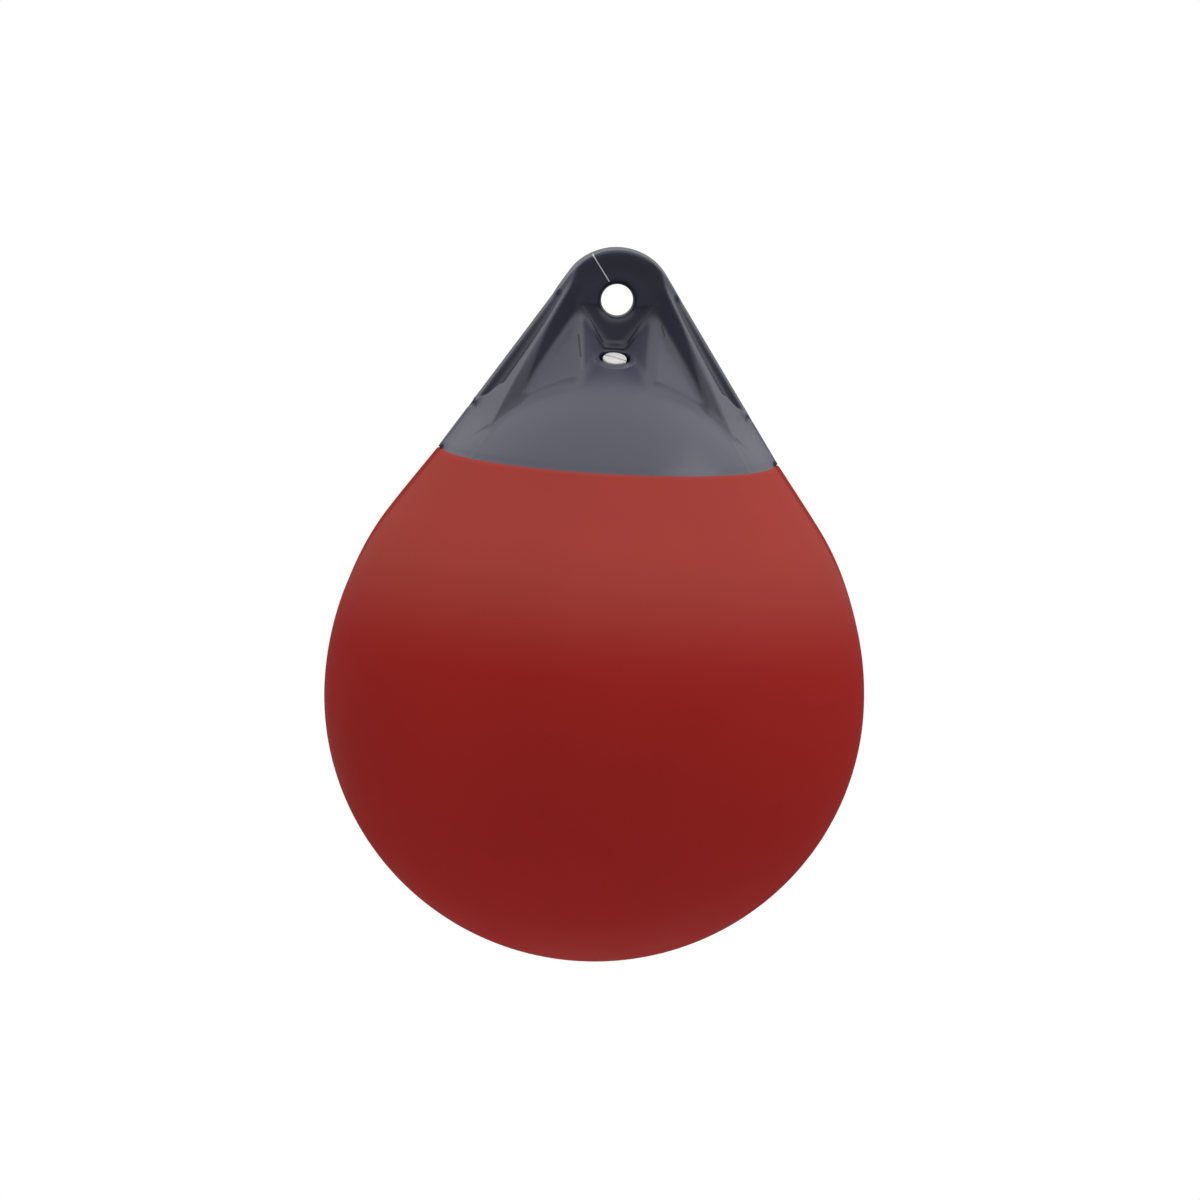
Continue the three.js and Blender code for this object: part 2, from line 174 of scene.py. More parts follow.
# Floor
# A pale disc well below the hanging buoy, which fades out before it can reach the picture.
floor_drop = 0.30
floor_fade = (0.5, 0.85)
floor_sides = 96
floor_height = cad_box[0][2] - floor_drop
angle = np.linspace(0, 2 * np.pi, floor_sides + 1)[:-1]
floor_rim = np.stack([np.cos(angle), np.sin(angle), np.full(floor_sides, floor_height)], 1)
floor_mesh = bpy.data.meshes.new("floor")
floor_mesh.from_pydata(floor_rim.tolist(), [], [list(range(floor_sides))])
floor = bpy.data.objects.new("floor", floor_mesh)
scene.collection.objects.link(floor)
floor_material = bpy.data.materials.new("pale_floor")
tree = nodes_of(floor_material)
place = node(tree, "ShaderNodeTexCoord")
distance = node(tree, "ShaderNodeVectorMath", operation="LENGTH")
flat = node(tree, "ShaderNodeVectorMath", operation="MULTIPLY")
flat.inputs[1].default_value = (1, 1, 0)
fade = node(tree, "ShaderNodeMapRange", interpolation_type="SMOOTHSTEP")
fade.inputs["From Min"].default_value = floor_fade[0]
fade.inputs["From Max"].default_value = floor_fade[1]
board = node(tree, "ShaderNodeBsdfDiffuse", Color=(0.74, 0.74, 0.74, 1))
clear = node(tree, "ShaderNodeBsdfTransparent")
blend = node(tree, "ShaderNodeMixShader")
out = node(tree, "ShaderNodeOutputMaterial")
join(
    tree,
    (place.outputs["Object"], flat.inputs[0]),
    (flat.outputs[0], distance.inputs[0]),
    (distance.outputs["Value"], fade.inputs["Value"]),
    (fade.outputs[0], blend.inputs[0]),
    (board.outputs[0], blend.inputs[1]),
    (clear.outputs[0], blend.inputs[2]),
    (blend.outputs[0], out.inputs[0]),
)
floor_mesh.materials.append(floor_material)


# Ball shell
# The red ball is rotomoulded soft vinyl, blown up hard: round below, with a shoulder that runs into a
# straight cone. A parting bead runs down each side, and the neck is fused round the rope hold's foot.
BALL_RADIUS = 185.0
BALL_DEPTH = 182.0
SHOULDER_RADIUS = 208.0
CONE_ANGLE = math.radians(36)
SEAM_HEIGHT = 165.5
SHELL_WALL = 3.0
NECK_ROUND = 0.7
NECK_SPREAD = 1.2
BEAD_PROUD = 3.0
BEAD_HALF = 2.2
BEAD_RADIUS = 150.0
BEAD_END = 55.0
BEAD_FULL = 140.5
BEAD_REACH = 0.03
BEAD_COLUMNS = 13
ROUND_COLUMNS = 220
BOWL_ROWS = 61
SIDE_ROWS = 90
NECK_ROWS = 6
LINING_ROWS = 30
LINING_BOWL_ROWS = 24
SIDES = (np.pi / 2, 3 * np.pi / 2)
cone_height = SHOULDER_RADIUS * math.sin(CONE_ANGLE)
cone_radius = BALL_RADIUS - SHOULDER_RADIUS + SHOULDER_RADIUS * math.cos(CONE_ANGLE)
seam_radius = cone_radius - (SEAM_HEIGHT - cone_height) * math.tan(CONE_ANGLE)


def smooth_step(low, high, value):
    """0 at low and before it, 1 at high and past it, and a smooth cubic between; low may be the larger."""
    share = np.clip((value - low) / (high - low), 0, 1)
    return share * share * (3 - 2 * share)


def ball_outline(height):
    """The shell's radius at a height: ellipse below, shoulder arc, then a straight cone."""
    below = BALL_RADIUS * np.sqrt(np.clip(1 - (height / BALL_DEPTH) ** 2, 0, 1))
    arc = BALL_RADIUS - SHOULDER_RADIUS + np.sqrt(SHOULDER_RADIUS**2 - np.clip(height, 0, None) ** 2)
    cone = cone_radius - (height - cone_height) * math.tan(CONE_ANGLE)
    return np.where(height < 0, below, np.where(height < cone_height, arc, cone))


def grid_faces(rows, columns):
    """Quads of a grid whose columns close round on themselves, row by row."""
    row, column = np.meshgrid(np.arange(rows - 1), np.arange(columns), indexing="ij")
    after = (column + 1) % columns
    below, above = row * columns, (row + 1) * columns
    return np.stack([below + column, below + after, above + after, above + column], -1).reshape(-1, 4)


def put_mesh(name, points, quads, triangles):
    """A smooth mesh object from points in millimetres above the ball's middle, faces given by index."""
    placed = np.asarray(points, float) / 1000
    placed[:, 2] -= EYE_ABOVE_BALL
    mesh = bpy.data.meshes.new(name)
    quads = np.asarray(quads, int).reshape(-1, 4)
    triangles = np.asarray(triangles, int).reshape(-1, 3)
    mesh.vertices.add(len(placed))
    mesh.vertices.foreach_set("co", placed.astype(np.float32).ravel())
    mesh.loops.add(quads.size + triangles.size)
    mesh.loops.foreach_set("vertex_index", np.concatenate([quads.ravel(), triangles.ravel()]))
    mesh.polygons.add(len(quads) + len(triangles))
    starts = np.concatenate([np.arange(len(quads)) * 4, quads.size + np.arange(len(triangles)) * 3])
    mesh.polygons.foreach_set("loop_start", starts)
    mesh.update(calc_edges=True)
    mesh.validate()
    mesh.polygons.foreach_set("use_smooth", np.full(len(mesh.polygons), True))
    piece = bpy.data.objects.new(name, mesh)
    scene.collection.objects.link(piece)
    return piece


# The profile runs up the outside, round the neck's edge and down the lining to the axis again.
lower_turn = np.linspace(-np.pi / 2, 0, BOWL_ROWS)
heights = np.concatenate([
    BALL_DEPTH * np.sin(lower_turn),
    np.linspace(0, SEAM_HEIGHT - NECK_ROUND, SIDE_ROWS)[1:],
])
outer_profile = np.stack([ball_outline(heights), heights], 1)
edge_turn = np.linspace(0, np.pi / 2, NECK_ROWS)[1:]
neck_profile = np.stack([
    seam_radius - NECK_ROUND * (1 - np.cos(edge_turn)) * NECK_SPREAD,
    SEAM_HEIGHT - NECK_ROUND * (1 - np.sin(edge_turn)),
], 1)
inner_heights = np.linspace(SEAM_HEIGHT, 0, LINING_ROWS)
inner_radii = ball_outline(inner_heights) - SHELL_WALL / math.cos(CONE_ANGLE)
inner_profile = np.stack([inner_radii, inner_heights], 1)
inner_turn = np.linspace(0, -np.pi / 2, LINING_BOWL_ROWS)[1:]
inner_bowl = np.stack([
    inner_radii[-1] * np.cos(inner_turn),
    (BALL_DEPTH - SHELL_WALL) * np.sin(inner_turn),
], 1)
shell_profile = np.concatenate([outer_profile, neck_profile, inner_profile, inner_bowl])
shell_profile[[0, -1], 0] = 0
outside_rows = len(outer_profile) + 2


def side_bead(height, turn):
    """How far the parting bead stands out: a rounded ridge at the two sides that fades out downwards."""
    offset = np.abs(np.cos(turn)) * BEAD_RADIUS
    ridge = np.sqrt(np.clip(1 - (offset / BEAD_HALF) ** 2, 0, 1))
    tall = BEAD_PROUD * smooth_step(BEAD_END, BEAD_FULL, height)
    outside = np.arange(height.shape[0])[:, None] < outside_rows
    return ridge * tall * outside


def packed_columns(count, close, reach):
    """Angles round the ball: evenly spread, with close ones within reach of each side, for the beads."""
    even = np.arange(count) * 2 * np.pi / count
    near = np.linspace(-reach, reach, close)
    clear_of_beads = (np.abs(even[:, None] - SIDES) > 1.2 * reach).all(1)
    return np.sort(np.concatenate([even[clear_of_beads], *(side + near for side in SIDES)]))


def turned_shell(name, profile, turn, push):
    """A closed surface turned about the axis at given angles, with a push along the radius."""
    columns = len(turn)
    radius, height = profile[1:-1, 0][:, None], profile[1:-1, 1][:, None] + 0 * turn[None, :]
    radius = radius + push(height, turn[None, :])
    ring = np.stack([radius * np.sin(turn), -radius * np.cos(turn), height], -1).reshape(-1, 3)
    rows = len(profile) - 2
    points = np.concatenate([ring, [[0, 0, profile[0, 1]], [0, 0, profile[-1, 1]]]])
    column = np.arange(columns)
    after = (column + 1) % columns
    last = (rows - 1) * columns
    lower = np.stack([np.full(columns, len(ring)), after, column], 1)
    upper = np.stack([np.full(columns, len(ring) + 1), last + column, last + after], 1)
    return put_mesh(name, points, grid_faces(rows, columns), np.concatenate([lower, upper]))


shell_turn = packed_columns(ROUND_COLUMNS, BEAD_COLUMNS, BEAD_REACH)
shell = turned_shell("red_ball", shell_profile, shell_turn, side_bead)


def skin_group():
    """Node group of moulded skin, from object coordinates: colour with a faint mottle and with painted light,
    a lighter colour on the faces that look up as if lit from above, patchy roughness, and the normal of a
    fine orange peel."""
    group = bpy.data.node_groups.new("moulded_skin", "ShaderNodeTree")
    for name, kind in (
        ("Colour", "Color"),
        ("Top Light", "Color"),
        ("Mottle", "Float"),
        ("Roughness", "Float"),
        ("Peel", "Float"),
        ("Top Light Share", "Float"),
    ):
        group.interface.new_socket(name, in_out="INPUT", socket_type="NodeSocket" + kind)
    for name, kind in (("Colour", "Color"), ("Roughness", "Float"), ("Normal", "Vector")):
        group.interface.new_socket(name, in_out="OUTPUT", socket_type="NodeSocket" + kind)
    given = node(group, "NodeGroupInput")
    result = node(group, "NodeGroupOutput")
    place = node(group, "ShaderNodeTexCoord")
    cloud = node(group, "ShaderNodeTexNoise", Scale=7.0, Detail=3.0, Roughness=0.5)
    fine = node(group, "ShaderNodeTexNoise", Scale=900.0, Detail=2.0, Roughness=0.5)
    slow = node(group, "ShaderNodeTexNoise", Scale=60.0, Detail=2.0, Roughness=0.5)
    centred = node(group, "ShaderNodeMath", operation="SUBTRACT")
    centred.inputs[1].default_value = 0.5
    amount = node(group, "ShaderNodeMath", operation="MULTIPLY")
    value = node(group, "ShaderNodeMath", operation="ADD")
    value.inputs[1].default_value = 1.0
    tone = node(group, "ShaderNodeHueSaturation")
    facing = node(group, "ShaderNodeSeparateXYZ")
    # Painted light: faces that look up are mixed towards the lighter colour, standing in for the light from
    # above.
    upward = node(group, "ShaderNodeMapRange", interpolation_type="SMOOTHSTEP", From_Min=0.12, From_Max=0.52)
    top_light_share = node(group, "ShaderNodeMath", operation="MULTIPLY")
    with_top_light = node(group, "ShaderNodeMix", data_type="RGBA")
    rough_low = node(group, "ShaderNodeMath", operation="MULTIPLY")
    rough_low.inputs[1].default_value = 0.75
    rough_high = node(group, "ShaderNodeMath", operation="MULTIPLY")
    rough_high.inputs[1].default_value = 1.3
    rough = node(group, "ShaderNodeMapRange", From_Min=0.3, From_Max=0.7)
    height = node(group, "ShaderNodeMath", operation="MULTIPLY_ADD")
    height.inputs[1].default_value = 0.35
    peel = node(group, "ShaderNodeBump", Distance=0.0006)
    join(
        group,
        (place.outputs["Object"], cloud.inputs["Vector"]),
        (place.outputs["Object"], fine.inputs["Vector"]),
        (place.outputs["Object"], slow.inputs["Vector"]),
        (cloud.outputs["Fac"], centred.inputs[0]),
        (centred.outputs[0], amount.inputs[0]),
        (given.outputs["Mottle"], amount.inputs[1]),
        (amount.outputs[0], value.inputs[0]),
        (value.outputs[0], tone.inputs["Value"]),
        (place.outputs["Normal"], facing.inputs[0]),
        (facing.outputs["Z"], upward.inputs["Value"]),
        (upward.outputs[0], top_light_share.inputs[0]),
        (given.outputs["Top Light Share"], top_light_share.inputs[1]),
        (top_light_share.outputs[0], with_top_light.inputs["Factor"]),
        (given.outputs["Colour"], with_top_light.inputs[6]),
        (given.outputs["Top Light"], with_top_light.inputs[7]),
        (with_top_light.outputs[2], tone.inputs["Color"]),
        (tone.outputs[0], result.inputs["Colour"]),
        (given.outputs["Roughness"], rough_low.inputs[0]),
        (given.outputs["Roughness"], rough_high.inputs[0]),
        (cloud.outputs["Fac"], rough.inputs["Value"]),
        (rough_low.outputs[0], rough.inputs["To Min"]),
        (rough_high.outputs[0], rough.inputs["To Max"]),
        (rough.outputs[0], result.inputs["Roughness"]),
        (fine.outputs["Fac"], height.inputs[0]),
        (slow.outputs["Fac"], height.inputs[2]),
        (height.outputs[0], peel.inputs["Height"]),
        (given.outputs["Peel"], peel.inputs["Strength"]),
        (peel.outputs[0], result.inputs["Normal"]),
    )
    return group


skin = skin_group()


def moulded_plastic(name, colour, top_light, mottle, roughness, peel, gloss):
    """Moulded plastic: the shared skin, with painted light on its upper faces, on a plastic shader."""
    material = bpy.data.materials.new(name)
    tree = nodes_of(material)
    coat = node(tree, "ShaderNodeGroup")
    coat.node_tree = skin
    coat.name = "skin"
    coat.inputs["Colour"].default_value = (*colour, 1)
    coat.inputs["Top Light"].default_value = (*top_light, 1)
    coat.inputs["Top Light Share"].default_value = 1.0
    coat.inputs["Mottle"].default_value = mottle
    coat.inputs["Roughness"].default_value = roughness
    coat.inputs["Peel"].default_value = peel
    plastic = node(tree, "ShaderNodeBsdfPrincipled")
    plastic.name = "plastic"
    plastic.inputs["IOR"].default_value = 1.5
    plastic.inputs["Specular IOR Level"].default_value = gloss
    out = node(tree, "ShaderNodeOutputMaterial")
    join(
        tree,
        (coat.outputs["Colour"], plastic.inputs["Base Color"]),
        (coat.outputs["Roughness"], plastic.inputs["Roughness"]),
        (coat.outputs["Normal"], plastic.inputs["Normal"]),
        (plastic.outputs[0], out.inputs[0]),
    )
    return material


# Painted light: the red's upper faces take a paler, lighter red, a painted sheen of the light from above.
red_vinyl = moulded_plastic(
    "red_vinyl",
    colour=(0.30, 0.018, 0.015),
    top_light=(0.325, 0.046, 0.036),
    mottle=0.2,
    roughness=0.6,
    peel=0.1,
    gloss=0.012,
)
shell.data.materials.append(red_vinyl)
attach(shell, "root")
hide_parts("ball_shell")

# Rope hold
# Dark blue-grey vinyl, moulded in two halves that part along the middle: a dome on the ball's neck, an
# upright web with the rope eye, a strap over it that spreads into fins, and small gussets. It is worked
# out as one field of distance, in which all the forms run into each other with moulded fillets.
DOME_RADIUS = 198.0
DOME_TOP = 241.7
HOLD_BOTTOM = 158.0
ARCH_TOP = 308.6
ARCH_RADIUS = 40.0
STRAP_TOP = 304.0
CHANNEL_TOP = 292.0
CHANNEL_DEPTH = 9.6
CHANNEL_RUN = 34.0
CREASE_HEIGHT = 193.0
CREASE_RISE = 19.0
CAP_TOP = 262.0
CAP_DEPTH = 8.5
CAP_RUN = 68.0
TOE_HEIGHT = 168.0
TOE_RISE = 20.0
WEB_HALF = 7.0
WEB_FOOT = 200.0
LEDGE_HEIGHT = 245.0
LEDGE_PROUD = 1.4
RIM_HALF = 12.0
RIM_FADE = 17.0
HOLD_BEAD_HALF = 2.4
HOLD_BEAD_END = 150.0
EYE_HEIGHT = 1000 * EYE_ABOVE_BALL
EYE_RADIUS = 10.9
EYE_LIP = 6.65
VALVE_OFFSET = 22.0
COLLAR_REACH = 12.0
COLLAR_ROUND = 1.5
BORE_RADIUS = 10.3
GUSSET_PEAK = np.array([26.0, 10.0, 267.0])
GUSSET_FOOT = np.array([24.0, 47.0, 221.0])
GUSSET_PANEL = np.array([0.318, 0.746, 0.587])
WEB_CORNER = np.array([16.5, WEB_HALF, 258.0])
FINE_STEP = 1.08
FAN_REACH = 112.0

chord = np.array([-seam_radius, DOME_TOP - SEAM_HEIGHT])
half_way = np.array([seam_radius / 2, (SEAM_HEIGHT + DOME_TOP) / 2])
across_chord = np.array([-chord[1], chord[0]]) / np.hypot(*chord)
dome_centre = half_way + across_chord * math.sqrt(DOME_RADIUS**2 - (chord @ chord) / 4)
arch_height = ARCH_TOP - ARCH_RADIUS
ridge_foot = seam_radius + BEAD_PROUD
foot_drop = arch_height - SEAM_HEIGHT
ridge_angle = math.atan2(ridge_foot, foot_drop) - math.asin(ARCH_RADIUS / math.hypot(ridge_foot, foot_drop))
ridge_cos, ridge_sin = math.cos(ridge_angle), math.sin(ridge_angle)


def lower_of(a, b, blend):
    """Smooth minimum: joins two forms with a fillet about as large as the blend."""
    near = np.maximum(blend - np.abs(a - b), 0) / blend
    return np.minimum(a, b) - near * near * blend / 4


def upper_of(a, b, blend):
    """Smooth maximum: keeps what two forms share, with a rounded edge."""
    near = np.maximum(blend - np.abs(a - b), 0) / blend
    return np.maximum(a, b) + near * near * blend / 4


def dome_height(radius):
    """Height of the dome's skin at a radius."""
    return dome_centre[1] + np.sqrt(DOME_RADIUS**2 - (radius - dome_centre[0]) ** 2)


def valve_place(x, y, z):
    """Distance from the valve's axis and height along it above the dome's skin."""
    seat = np.array([0, -VALVE_OFFSET, dome_height(VALVE_OFFSET)])
    tilt = math.atan2(VALVE_OFFSET - dome_centre[0], seat[2] - dome_centre[1])
    from_seat = (y - seat[1]) * math.cos(tilt) + (z - seat[2]) * math.sin(tilt)
    return np.hypot(x, from_seat), -(y - seat[1]) * math.sin(tilt) + (z - seat[2]) * math.cos(tilt)


def strap_fall(z):
    """Half depth of a fin's rim at a height, and how steeply the strap falls back from the ridge to it."""
    down = np.clip(STRAP_TOP - z, -5, None)
    depth = RIM_HALF + 0.26 * down + 0.00125 * down**2
    return depth, ridge_cos * (0.27 + 0.0011 * down) * smooth_step(306, 280, z)


def channel_place(deep, z):
    """A channel's depth below the ridge, half width and the height of the crease at its end."""
    sunk = CHANNEL_DEPTH * (1 - np.exp((np.minimum(z, CHANNEL_TOP) - CHANNEL_TOP) / CHANNEL_RUN))
    half_width = sunk * ridge_cos / np.maximum(strap_fall(z)[1], 0.1)
    return sunk, half_width, CREASE_HEIGHT + np.clip(deep, 0, CREASE_RISE)


def fin_cap(x, y, z):
    """Field of the square cut along a fin's crest, which grows wider towards the toe."""
    depth, fall = strap_fall(z)
    inward = ARCH_RADIUS - np.abs(x) * ridge_cos - (z - arch_height) * ridge_sin - fall * depth
    cut = CAP_DEPTH * np.clip((CAP_TOP - z) / CAP_RUN, 0, 1.2)
    return 0.95 * (np.abs(y) - depth + cut) - 0.3 * inward


def rope_hold(x, y, z):
    """Distance-like field of the rope hold: below zero inside it."""
    across, deep = np.abs(x), np.abs(y)
    radius = np.hypot(x, y)
    dome = np.hypot(radius - dome_centre[0], z - dome_centre[1]) - DOME_RADIUS
    dome = dome + 0.35 * (1 - smooth_step(SEAM_HEIGHT + 0.5, SEAM_HEIGHT + 5, z))

    # Ridge outline in the plane between the legs: an arc over the eye and its two tangents.
    rise = z - arch_height
    line = across * ridge_cos + rise * ridge_sin - ARCH_RADIUS
    arc = np.hypot(across, rise) - ARCH_RADIUS
    outline = np.where(across * ridge_sin - rise * ridge_cos > 0, line, arc)

    # Strap: its half depth grows downwards, and its face falls back from the ridge to the fin's edge.
    depth, fall = strap_fall(z)
    strap = outline + fall * deep

    # Channel between the ridge and the fin: its floor is level with the fin's rim, and it ends in a
    # slanted crease, below which the strap is full.
    sunk, rim_half, crease = channel_place(deep, z)
    opened = smooth_step(-3, 3, z - crease)
    sunk_share = np.clip(sunk / 3, 0, 1)
    dish = sunk_share * np.sin(np.pi * np.clip((deep - 3) / np.maximum(rim_half - 3, 1), 0, 1))
    floor_of_channel = outline + (ridge_cos * sunk + dish) * opened
    strap = upper_of(strap, floor_of_channel, 0.2 + 1.8 * opened * sunk_share)

    # Fin: the flank falls away inwards from the crest, and the crest is cut off square towards the toe.
    flank = (deep - depth - 0.96 * (line + fall * depth)) / 1.386
    toe = TOE_HEIGHT + TOE_RISE * smooth_step(34, 47, deep) - z
    leg = upper_of(upper_of(strap, flank, 1.5), fin_cap(x, y, z), 1.5)
    leg = upper_of(leg, toe, 2.0)

    # Rim round the head of the web, which fades into the web downwards.
    rim_depth = WEB_HALF + (RIM_HALF - WEB_HALF) * (1 - smooth_step(2, RIM_FADE, -arc))
    rim = upper_of(arc, deep - rim_depth, 3.0)
    rim = np.maximum(rim, 0.35 * across - rise - 2)

    # Web: it is thicker below a ledge that climbs towards the legs.
    ledge = LEDGE_HEIGHT + np.clip(across - 8.5, 0, None) * 13 / 8
    web_depth = WEB_HALF + LEDGE_PROUD * (1 - smooth_step(-0.7, 0.7, z - ledge))
    web = upper_of(outline + 0.5, deep - web_depth, 2.5)
    web = np.maximum(web, WEB_FOOT - z)

    # Gussets: a panel in front and a cheek towards the web, which meet in a crest.
    spot = np.stack([across, deep, z], -1)
    panel = (spot - GUSSET_PEAK) @ (GUSSET_PANEL / np.linalg.norm(GUSSET_PANEL))
    side = np.cross(GUSSET_FOOT - GUSSET_PEAK, WEB_CORNER - GUSSET_PEAK)
    cheek = (spot - GUSSET_PEAK) @ (side / np.linalg.norm(side))
    gusset = upper_of(upper_of(panel, cheek, 5.0), line + 20, 2.0)

    # The forms run together, with a parting bead on the ridge, and stay inside the outline.
    body = lower_of(leg, rim, 6.0)
    body = lower_of(body, web, 6.0)
    body = lower_of(body, gusset, 3.5)
    body = lower_of(body, dome, 4.0)
    bead = upper_of(outline, deep - HOLD_BEAD_HALF, 2.0)
    body = np.maximum(lower_of(body, np.maximum(bead, HOLD_BEAD_END - z), 3.0), outline)

    # Rope eye with rounded lips.
    eye = np.hypot(x, z - EYE_HEIGHT) - EYE_RADIUS
    body = upper_of(body, -eye, EYE_LIP)

    # Valve seat: a low collar on the dome with a counterbore for the screw's head.
    spread, above = valve_place(x, y, z)
    collar = np.hypot(spread - COLLAR_REACH, above + 0.4) - COLLAR_ROUND
    body = lower_of(body, collar, 2.0)
    bore = upper_of(spread - BORE_RADIUS, np.abs(above - 6) - 10.5, 0.8)
    body = upper_of(body, -bore, 0.8)

    # Below the seam it slips inside the ball's neck, and it ends there.
    neck_radius = seam_radius - (z - SEAM_HEIGHT) * math.tan(CONE_ANGLE)
    neck = (radius - neck_radius) * math.cos(CONE_ANGLE) + 0.35
    neck = neck + 1.25 * (1 - smooth_step(SEAM_HEIGHT - 4, SEAM_HEIGHT - 2, z))
    neck = neck - 4.5 * smooth_step(SEAM_HEIGHT - 0.4, SEAM_HEIGHT + 0.6, z)
    neck = neck - 2 * np.clip(z - SEAM_HEIGHT, 0, None)
    return np.maximum(np.maximum(body, neck), HOLD_BOTTOM - z)


def surface_net(field, xs, ys, zs):
    """Quads round the zero surface of a field: one point in each cell that the surface crosses."""
    values = field(*np.meshgrid(xs, ys, zs, indexing="ij"))
    inside = values < 0
    shape = tuple(n - 1 for n in inside.shape)
    corners = [inside[i:i + shape[0], j:j + shape[1], k:k + shape[2]]
               for i in (0, 1) for j in (0, 1) for k in (0, 1)]
    count = sum(c.astype(np.int8) for c in corners)
    crossed = (count > 0) & (count < 8)
    index = np.full(shape, -1, np.int64)
    index[crossed] = np.arange(crossed.sum())
    i, j, k = np.nonzero(crossed)
    weight = np.zeros(len(i))
    points = np.zeros((len(i), 3))
    axes = (xs, ys, zs)
    for axis in range(3):
        for a in (0, 1):
            for b in (0, 1):
                step = [np.array([0, 0, 0]), np.array([0, 0, 0])]
                other = [n for n in range(3) if n != axis]
                step[0][other[0]] = step[1][other[0]] = a
                step[0][other[1]] = step[1][other[1]] = b
                step[1][axis] = 1
                cell = (i, j, k)
                low = values[tuple(cell[n] + step[0][n] for n in range(3))]
                high = values[tuple(cell[n] + step[1][n] for n in range(3))]
                cut = (low < 0) != (high < 0)
                share = np.where(cut, low / np.where(cut, low - high, 1), 0)
                for n in range(3):
                    start = axes[n][cell[n] + step[0][n]]
                    end = axes[n][cell[n] + step[1][n]]
                    points[:, n] += np.where(cut, start + share * (end - start), 0)
                weight += cut
    points /= weight[:, None]
    faces = []
    for axis in range(3):
        other = [n for n in range(3) if n != axis]
        first = [slice(None)] * 3
        first[axis] = slice(0, -1)
        second = [slice(None)] * 3
        second[axis] = slice(1, None)
        changed = inside[tuple(first)] != inside[tuple(second)]
        ends = np.stack(np.nonzero(changed), 1)
        ends = ends[(ends[:, other[0]] > 0) & (ends[:, other[1]] > 0)]
        ends = ends[(ends[:, other[0]] < shape[other[0]]) & (ends[:, other[1]] < shape[other[1]])]
        solid_first = inside[tuple(ends.T)]
        ring = []
        for a, b in ((1, 1), (0, 1), (0, 0), (1, 0)):
            cell = ends.copy()
            cell[:, other[0]] -= a
            cell[:, other[1]] -= b
            ring.append(index[tuple(cell.T)])
        quad = np.stack(ring, 1)
        turn_back = solid_first if axis == 1 else ~solid_first
        quad[turn_back] = quad[turn_back][:, ::-1]
        faces.append(quad)
    return points, np.concatenate(faces)


def slope_of(field, points, step=0.05):
    """Gradient of a field at points, by central differences."""
    slopes = []
    for axis in range(3):
        shift = np.zeros(3)
        shift[axis] = step
        slopes.append((field(*(points + shift).T) - field(*(points - shift).T)) / (2 * step))
    return np.stack(slopes, 1)


def drawn_to(field, points, rounds, reach):
    """Moves points on to the zero surface along the gradient, by Newton steps of limited reach."""
    for _ in range(rounds):
        slope = slope_of(field, points)
        steepness = np.maximum((slope**2).sum(1), 0.05)
        step = -field(*points.T)[:, None] * slope / steepness[:, None]
        length = np.linalg.norm(step, axis=1, keepdims=True)
        points = points + step * np.minimum(1, reach / np.maximum(length, 1e-9))
    return points


def evened(points, quads, field, rounds):
    """Slides points towards the middle of their neighbours along the surface, then back on to it."""
    links = np.concatenate([quads[:, [0, 1]], quads[:, [1, 2]], quads[:, [2, 3]], quads[:, [3, 0]]])
    links = np.concatenate([links, links[:, ::-1]])
    near, far = links.T
    count = len(points)
    total = np.bincount(near, minlength=count)[:, None]
    for _ in range(rounds):
        middle = np.stack([np.bincount(near, points[far, n], count) for n in range(3)], 1) / total
        slope = slope_of(field, points)
        normal = slope / np.maximum(np.linalg.norm(slope, axis=1, keepdims=True), 1e-9)
        move = middle - points
        move -= normal * (move * normal).sum(1, keepdims=True)
        points = drawn_to(field, points + 0.5 * move, 1, 0.5)
    return points


def spaced(stops, steps):
    """Grid lines from stop to stop, each stretch with its own step."""
    lines = [np.arange(a, b, s) for a, b, s in zip(stops[:-1], stops[1:], steps)]
    return np.concatenate([*lines, [stops[-1]]])


def fanned(points, quads, level, reach):
    """Swaps the flat quads at a level, within reach of the axis, for a fan round one middle point."""
    low = (points[:, 2] < level + 0.5) & (np.hypot(points[:, 0], points[:, 1]) < reach)
    flat = low[quads].all(1)
    start, end = quads[flat].ravel(), np.roll(quads[flat], -1, 1).ravel()
    rim = ~np.isin(start * len(points) + end, end * len(points) + start)
    fan = np.stack([start[rim], end[rim], np.full(rim.sum(), len(points))], 1)
    kept = quads[~flat]
    used, renumbered = np.unique(np.concatenate([kept.ravel(), fan.ravel()]), return_inverse=True)
    points = np.concatenate([points, [[0, 0, level]]])[used]
    return points, renumbered[:kept.size].reshape(-1, 4), renumbered[kept.size:].reshape(-1, 3)


# The grid is a hair off centre, so that no flat face lies on one of its planes.
x_lines = spaced((-122, -92, 92, 122), (1.5, FINE_STEP, 1.5)) + 0.013
y_lines = spaced((-122, -64, 64, 122), (2.4, FINE_STEP, 2.4)) + 0.017
z_lines = spaced((154, 161, 311), (2.2, FINE_STEP)) + 0.011
hold_points, hold_quads = surface_net(rope_hold, x_lines, y_lines, z_lines)
hold_points = drawn_to(rope_hold, hold_points, 3, 0.6)
hold_points = evened(hold_points, hold_quads, rope_hold, 4)
hold_points, hold_quads, hold_fan = fanned(hold_points, hold_quads, HOLD_BOTTOM, FAN_REACH)
hold = put_mesh("moulded_rope_hold", hold_points, hold_quads, hold_fan)
print("rope hold:", len(hold_points), "points,", 2 * len(hold_quads) + len(hold_fan), "triangles")


